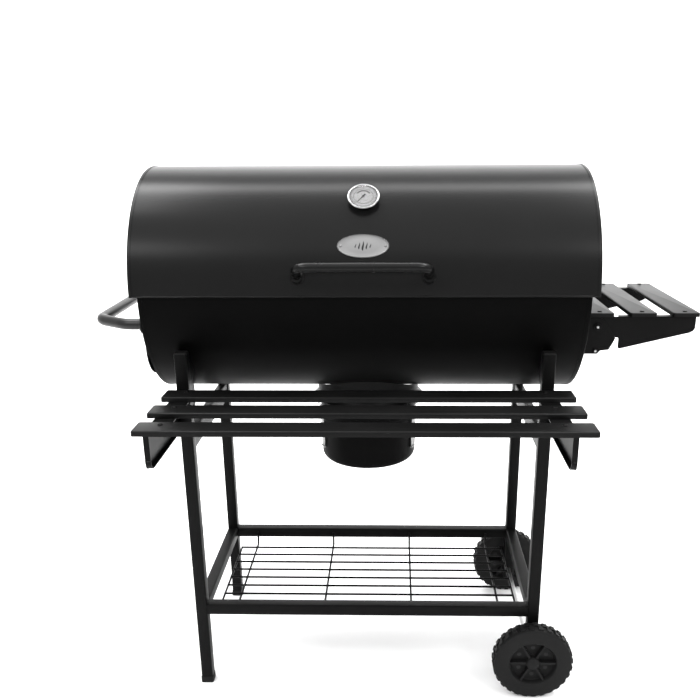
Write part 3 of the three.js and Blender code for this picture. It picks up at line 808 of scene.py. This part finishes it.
def damper():
    s = Shape()
    m = basis((-433.8, VENT_Y, VENT_Z), (-1, 0, 0))
    profile = [(0, 0), (65, 0), (67, 0.5), (67, 1.6), (65.5, 2.3)]
    profile += [(58, 2.3), (56, 1.9), (12, 1.9), (10, 2.3), (0, 2.3)]
    spin(s, profile, m, 96)
    disc = piece("vent_disc", s, "vent_damper", SATIN, "vent_damper")
    carve_vent_holes(disc)
    tab = Shape()
    outline = rounded_outline([(96, 704), (104, 704), (104, 724), (96, 724)], 2.5, 4)
    slab(tab, outline, "x", -443.5, -436.0)
    piece("vent_tab", tab, "vent_damper", SATIN, bevel=0.8)
    stud = Shape()
    dome = [(0, 3.2), (7.5, 3.2), (7.5, 4.2), (5.5, 6.0), (0, 6.6)]
    spin(stud, dome, basis((-433, VENT_Y, VENT_Z), (-1, 0, 0)), 28)
    piece("vent_stud", stud, "cart", STEEL)


damper()

# ---- grates and tray -----------------------------------------------------


def cooking_grate(name, x0, x1):
    s = Shape()
    z, y0, y1 = 848.3, AXIS_Y - 215, AXIS_Y + 215
    start = ((x0 + x1) / 2, y0, z)
    rim = bend_path([start, (x1, y0, z), (x1, y1, z), (x0, y1, z), (x0, y0, z), start], 14)
    wire(s, rim, 3, 12)
    wire(s, [(x0 + 2, AXIS_Y, z - 0.4), (x1 - 2, AXIS_Y, z - 0.4)], 2.6, 12)
    for i in range(1, 25):
        x = x0 + (x1 - x0) * i / 25
        wire(s, [(x, y0 + (y1 - y0) * k / 6, z) for k in range(7)], 2.1, 10)
    return piece(name.replace("cooking_", "wire_"), s, name, WIRE, name, sharp=60)


cooking_grate("cooking_grate_left", -420, -5)
cooking_grate("cooking_grate_right", 5, 420)


def tray():
    s = Shape()
    z, half = 703.5, 151
    xs = [-390]
    for i in range(9):
        xs += [-340 + 85 * i - 28, -340 + 85 * i + 28]
    xs.append(390)
    ys = [AXIS_Y - half]
    for row in (-0.75, -0.25, 0.25, 0.75):
        ys += [AXIS_Y + row * 140 - 7, AXIS_Y + row * 140 + 7]
    ys.append(AXIS_Y + half)
    for j in range(0, len(ys), 2):
        block(s, -390, 390, ys[j], ys[j + 1], z, z + 2)
    for j in range(1, len(ys) - 1, 2):
        for i in range(0, len(xs), 2):
            block(s, xs[i], xs[i + 1], ys[j] - 0.01, ys[j + 1] + 0.01, z, z + 2)
    for x in (-390, 388):
        block(s, x, x + 2, AXIS_Y - half, AXIS_Y + half, z + 1, z + 22)
    return s


piece("charcoal_plate", tray(), "charcoal_tray", TRAY, "charcoal_tray")

# ---- front shelf ---------------------------------------------------------

for i, y in enumerate(SLAT_Y):
    cover = pan(Shape(), -390, 406, y, y + 50, SHELF_Z, 10, edge=3.0, corner=5)
    piece(f"shelf_slat_{i + 1}", cover, "cart", SLAT, f"front_slat_{i + 1}")


def arm_outline():
    """Side view of an arm, with its rear top edge just clear of the barrel."""
    outline = [(-222, 680), (-222, 608), (120, 608), (142, 616)]
    for k in range(9):
        y = 142 - 5.4 * k
        outline.append((y, AXIS_Z - math.sqrt((BODY_R + 1.5) ** 2 - (y - AXIS_Y) ** 2)))
    return outline[:-1] + [(99.0, 680)]


for side, sign in (("left", -1), ("right", 1)):
    s = Shape()
    points = arm_outline()
    radii = [2.0, 18.0, 6.0, 6.0] + [0.0] * (len(points) - 4)
    slab(s, rounded_outline(points, radii, 7), "x", *sorted((sign * 372.5, sign * 375.0)))
    for inner, y0, y1, z0, z1 in (
        (336.5, -222, -0.6, 677.5, 680),
        (364.5, -222, -219.5, 627, 678),
        (364.5, -203, -0.6, 608, 610.5),
    ):
        block(s, *sorted((sign * inner, sign * 374.0)), y0, y1, z0, z1)
    bend = [(-222 + 18 * (1 - math.cos(a)), 608 + 18 * (1 - math.sin(a)))
            for a in (math.pi / 2 * k / 8 for k in range(9))]
    inside = [(-219.5 + 15.5 * (1 - math.cos(a)), 610.5 + 15.5 * (1 - math.sin(a)))
              for a in (math.pi / 2 * k / 8 for k in range(8, -1, -1))]
    slab(s, bend + inside, "x", *sorted((sign * 364.5, sign * 374.0)))
    piece(f"shelf_arm_plate_{side}", s, "cart", COAT, f"shelf_arm_{side}", bevel=0.7)

# ---- side shelf ----------------------------------------------------------

for i, x in enumerate(SIDE_SLAT_X):
    cover = pan(Shape(), x, x + 53, 57, 400, SIDE_Z, 8, edge=2.6, corner=6)
    piece(f"side_shelf_slat_{i + 1}", cover, "side_shelf", SLAT, f"side_slat_{i + 1}")

PX, PZ = 461.0, 802.5


def blade_outline():
    points = []
    for i in range(13):
        a = math.pi / 2 + math.pi * i / 12
        points.append((PX + 19.2 * math.cos(a), PZ + 19.2 * math.sin(a)))
    corners = [(505.5, 779), (505.5, 755.5), (645, 789), (652, 793), (655, 799), (655, 821.7)]
    return points + corners, [0] * 13 + [3, 5, 4, 3, 3, 2]


def bracket_outline():
    points = [(433, 746.5), (465, 746.5), (470, 753), (487, 755), (493, 766), (499, 779)]
    radii = [0, 2, 4, 4, 8, 5]
    for i in range(9):
        a = math.radians(33 + 57 * i / 8)
        points.append((PX + 18.5 * math.cos(a), PZ + 18.5 * math.sin(a)))
        radii.append(0)
    points.append((433, PZ + 18.5))
    radii.append(0)
    return points, radii


for end, web, blade, fold, flange in (
    ("front", (60, 62.5), (63, 65.5), (63, 80), (62.4, 84)),
    ("rear", (394.5, 397), (391.5, 394), (377, 394), (373, 394.6)),
):
    out = -1 if end == "front" else 1
    s = Shape()
    slab(s, rounded_outline(*blade_outline(), 5), "y", *blade)
    block(s, 505, 654, *fold, 819.5, 821.7)
    piece(f"side_shelf_blade_{end}", s, "side_shelf", COAT, f"side_arm_{end}", bevel=0.6)
    s = Shape()
    slab(s, rounded_outline(*bracket_outline(), 5), "y", *web)
    block(s, 433, 435.2, *flange, 746.5, 816)
    face = web[0] if out < 0 else web[1]
    hex_bolt(s, (PX, face, PZ), (0, out, 0), 11, 4.5, 9)
    back = blade[1] if out < 0 else blade[0]
    hex_bolt(s, (PX, back + 0.3 * -out, PZ), (0, -out, 0), 10, 5)
    piece(f"side_shelf_bracket_{end}", s, "cart", COAT, f"side_bracket_{end}", bevel=0.5)
    s = Shape()
    hex_bolt(s, (460, face, 753.5), (0, out, 0), 8, 3.0, 5.6)
    spin(s, [(0, -3.4), (3.5, -3.4), (3.5, 6.5), (0, 6.5)], basis((460, face, 753.5), (0, -out, 0)), 20)
    piece(f"side_shelf_stop_{end}", s, "cart", COAT)
    s = Shape()
    for x, z, high in ((PX, PZ, 5.7), (460, 753.5, 4.2)):
        end_profile = [(0, 0), (2.6, 0), (2.4, 0.7), (1.2, 1.1), (0, 1.2)]
        spin(s, end_profile, basis((x, face + out * high, z), (0, out, 0)), 20)
    piece(f"side_shelf_bolt_ends_{end}", s, "cart", STEEL)

# ---- wheels --------------------------------------------------------------


def wheel(name, face, out):
    """face is the outer face's Y, out its direction. The bore is on the cart's side."""
    m = basis((AXLE_X, face, AXLE_Z), (0, out, 0))
    s = Shape()
    disc = [(0, 0), (11, 0), (13.2, -0.8), (14.6, -3), (15, -5), (15, -13), (16.5, -14), (46, -14),
            (48, -12.5),
            (49.4, -3), (51, -0.8), (54, 0), (78, 0), (81.5, -1), (83.2, -4), (83.2, -30), (81.5, -33),
            (78, -34), (54, -34), (51, -33), (49.4, -31), (48, -21.5), (46, -20), (17.5, -20), (16, -21.5),
            (16, -41.5), (15, -42.4), (5.4, -42.4), (5.4, -5), (0, -5)]
    spin(s, disc, m, 96)
    for row, z0, z1 in ((0, -4.6, -16.2), (0.5, -17.8, -29.4)):
        for i in range(28):
            a0 = 2 * math.pi * (i + row) / 28
            a1 = a0 + math.radians(7.8)
            lug = [(82.6, a0), (86, a0 + 0.01), (86, a1 - 0.01), (82.6, a1)]
            s.rings([[(r * math.cos(a), r * math.sin(a), z) for r, a in lug] for z in (z0, z1)], matrix=m)
    for i in range(6):
        a = math.radians(60 * i)
        d, e = Vector((math.cos(a), math.sin(a), 0)), Vector((-math.sin(a), math.cos(a), 0))
        for z0, z1 in ((-3.6, -14.5), (-19.5, -30)):
            loop = [d * 14 + e * 2.7, d * 14 - e * 2.7, d * 49.6 - e * 2.2, d * 49.6 + e * 2.2]
            s.rings([[q + Vector((0, 0, z)) for q in loop] for z in (z0, z1)], matrix=m)
    piece(name + "_moulding", s, name, PLASTIC, name)
    # Thin black discs on both faces of the web, at the six weep holes: painted shade standing in for holes
    # that are not cut.
    hole_shade_discs = Shape()
    for i in range(6):
        a = math.radians(60 * i + 30)
        for z0, z1 in ((-14.05, -13.6), (-19.95, -20.4)):
            ring = [(0, z0), (4.5, z0), (4.5, z1), (0, z1)]
            spin(hole_shade_discs, ring, m @ Matrix.Translation((33 * math.cos(a), 33 * math.sin(a), 0)), 20)
    piece(name + "_weep_hole_painted_shade", hole_shade_discs, name, INK_AND_SHADE_BLACK)


wheel("wheel_front", -43.8, -1)
wheel("wheel_rear", 429.3, 1)
axle = Shape()
wire(axle, [(AXLE_X, y, AXLE_Z) for y in (-38.5, 120, 260, 424)], 5, 24)
for y, out in ((-0.2, -1), (385.7, 1)):
    washer = [(5.0, 0), (9.5, 0), (9.5, 0.7), (5.0, 0.7), (5.0, 0)]
    spin(axle, washer, basis((AXLE_X, y, AXLE_Z), (0, out, 0)), 32)
piece("axle_rod", axle, "cart", STEEL, "wheel_axle", sharp=50)

# ---- ash bucket ----------------------------------------------------------

CENTRE = Matrix.Translation((0, AXIS_Y, 0))
collar = Shape()
profile = [(110.8, 700), (110.8, 624), (111.5, 620), (119.4, 612.6), (121.6, 612), (122.4, 612.8),
           (121.6, 613.8)]
profile += [(114.4, 620.5), (112.8, 625), (112.4, 700), (110.8, 700)]
spin(collar, profile, CENTRE, 96)
collar_piece = piece("ash_collar_ring", collar, "cart", COAT, "ash_collar", sharp=50)
cylinder = [(0, -200), (229.5, -200), (229.5, 200), (0, 200)]
cylinder = spin(Shape(), cylinder, basis((0, AXIS_Y, AXIS_Z), (1, 0, 0)), 160)
carve(collar_piece, cylinder)

bucket = Shape()
profile = [(0, 465), (88, 465)]
for i in range(8):
    a = math.radians(90 * i / 7)
    profile.append((91 + 15 * math.sin(a), 465 + 17 * (1 - math.cos(a))))
profile += [(106.6, 500), (107, 540), (107, 602)]
for i in range(9):
    a = math.radians(-90 + 225 * i / 8)
    profile.append((108.6 + 1.9 * math.cos(a), 604.2 + 1.9 * math.sin(a)))
profile += [(105.6, 602), (105.6, 500), (104.6, 484), (101, 472), (91, 466.8), (0, 466.8)]
spin(bucket, profile, CENTRE, 96)
bead = [(106.8, 584), (107.7, 585), (107.9, 586), (107.7, 587), (106.8, 588), (106, 586), (106.8, 584)]
spin(bucket, bead, CENTRE, 96)
piece("ash_cup", bucket, "ash_bucket", BARREL, "ash_bucket", sharp=50)


def latch(side, degrees):
    """A spring strip hinged low on the bucket, whose hooked top grips the collar's flare."""
    m = CENTRE @ Matrix.Rotation(math.radians(degrees), 4, "Z")
    s = Shape()
    corners = [(109.6, 0, 498), (109.6, 0, 520), (112.8, 0, 596), (124.0, 0, 609), (124.0, 0, 619)]
    line = bend_path(corners, [8, 4, 4], 5)
    rings = []
    for i, p in enumerate(line):
        t = (line[min(i + 1, len(line) - 1)] - line[max(i - 1, 0)]).normalized()
        n = Vector((-t.z, 0, t.x))
        w = 6.4 if i in (0, len(line) - 1) else 8.0
        rings.append([p + n * u + Vector((0, v, 0)) for u, v in ((0.7, -w), (0.7, w), (-0.7, w), (-0.7, -w))])
    s.rings(rings, matrix=m)
    pin = [(0, -9), (2.0, -9), (2.4, -8.5), (2.4, 8.5), (2.0, 9), (0, 9)]
    spin(s, pin, m @ basis((110, 0, 500), (0, 1, 0)), 20)
    for z in (540, 553):
        r = 109.6 + 3.2 * (z - 520) / 76
        spin(s, [(0, 0.5), (2.6, 0.5), (2.2, 1.5), (0, 1.9)], m @ basis((r, 0, z), (1, 0, 0)), 16)
    piece(f"ash_clip_{side}", s, f"ash_latch_{side}", LATCH, f"ash_latch_{side}", bevel=0.3)


latch("left", 204)
latch("right", -24)

# ---- fasteners -----------------------------------------------------------

SCREWS = [(x, y + 34, SHELF_Z, "cart") for y in SLAT_Y for x in (-347, 352)]
SCREWS += [(x + 26, y, SIDE_Z, "side_shelf") for x in SIDE_SLAT_X for y in (72, 385)]
for body in ("cart", "side_shelf"):
    heads, marks = Shape(), Shape()
    for x, y, z, b in SCREWS:
        if b == body:
            screw(heads, (x, y, z - 0.1), (0, 0, 1), 4.6, 2.0)
            # Each head gets a black cross: painted shade in place of a cut recess.
            recess_shade_cross(marks, (x, y, z - 0.1), (0, 0, 1), 4.6, 2.0)
    piece(f"{body}_shelf_screws", heads, body, COAT)
    piece(f"{body}_screw_recess_painted_shade", marks, body, INK_AND_SHADE_BLACK)

bolts = Shape()
for sign in (-1, 1):
    for y, z in ((12.5, 662), (12.5, 626)):
        hex_bolt(bolts, (sign * 375, y, z), (sign, 0, 0), 9, 3.5, 7.5)
piece("shelf_arm_bolts", bolts, "cart", COAT)

# ---- stage, lights and camera ---------------------------------------------


def stage():
    s = Shape()
    rings = []
    profile = [(-6000, 0), (2600, 0)]
    for i in range(1, 17):
        a = math.pi / 2 * i / 16
        profile.append((2600 + 1400 * math.sin(a), 1400 - 1400 * math.cos(a)))
    profile.append((4000, 7000))
    for x in (-7000, 7000):
        rings.append([(x, y, z) for y, z in profile])
    s.rings(rings, closed=False, caps=False)
    mesh = bpy.data.meshes.new("studio_floor")
    mesh.from_pydata([at(v) for v in s.verts], [], s.faces)
    mesh.shade_smooth()
    obj = bpy.data.objects.new("studio_floor", mesh)
    bpy.context.scene.collection.objects.link(obj)
    m = Nodes("studio_white")
    m.link(m.tint(m.noise(0.8, 2.0), grey(0.93), grey(0.95)), m.shader.inputs["Base Color"])
    m.shader.inputs["Roughness"].default_value = 0.9
    m.shader.inputs["Specular IOR Level"].default_value = 0.1
    mesh.materials.append(m.material)


stage()


def softbox(name, where, target, size, power):
    data = bpy.data.lights.new(name, "AREA")
    data.shape = "RECTANGLE"
    data.size, data.size_y = size
    data.energy = power
    obj = bpy.data.objects.new(name, data)
    bpy.context.scene.collection.objects.link(obj)
    obj.location = where
    obj.rotation_euler = (Vector(target) - Vector(where)).to_track_quat("-Z", "Y").to_euler()


softbox("overhead_left", (-1.3, 0.3, 3.0), (-0.2, 0.1, 0.9), (1.6, 0.7), 34)
softbox("overhead_right", (1.3, 0.3, 3.0), (0.2, 0.1, 0.9), (1.6, 0.7), 34)
softbox("front_left", (-1.9, -2.2, 2.9), (-0.2, 0.1, 0.9), (1.5, 0.6), 28)
softbox("front_right", (1.9, -2.2, 2.9), (0.2, 0.1, 0.9), (1.5, 0.6), 28)
softbox("backdrop_wash", (0, 1.2, 4.2), (0, 3.6, 1.2), (5.0, 1.0), 190)
softbox("floor_wash", (0, -1.0, 4.6), (0, 0.2, 0.0), (7.0, 7.0), 190)

world = bpy.data.worlds.new("studio")
bpy.context.scene.world = world
world.use_nodes = True
world.node_tree.nodes["Background"].inputs["Color"].default_value = (1, 1, 1, 1)
world.node_tree.nodes["Background"].inputs["Strength"].default_value = 1.0
bpy.context.scene.view_settings.view_transform = "Standard"

camera_data = bpy.data.cameras.new("camera")
camera = bpy.data.objects.new("camera", camera_data)
bpy.context.scene.collection.objects.link(camera)
bpy.context.scene.camera = camera
camera_data.sensor_width = 36.0
camera_data.lens = 41.285
camera_data.shift_x = -0.0375
camera_data.shift_y = 0.0804
right = Vector((0.99973136, 0.02244753, -0.00577204))
up = Vector((-0.00165179, 0.31740286, 0.94828935))
back = right.cross(up)
camera.matrix_world = Matrix.LocRotScale(
    at((60.15, -1507.82, 1160.0)), Matrix((right, up, back)).transposed().to_quaternion(), None
)
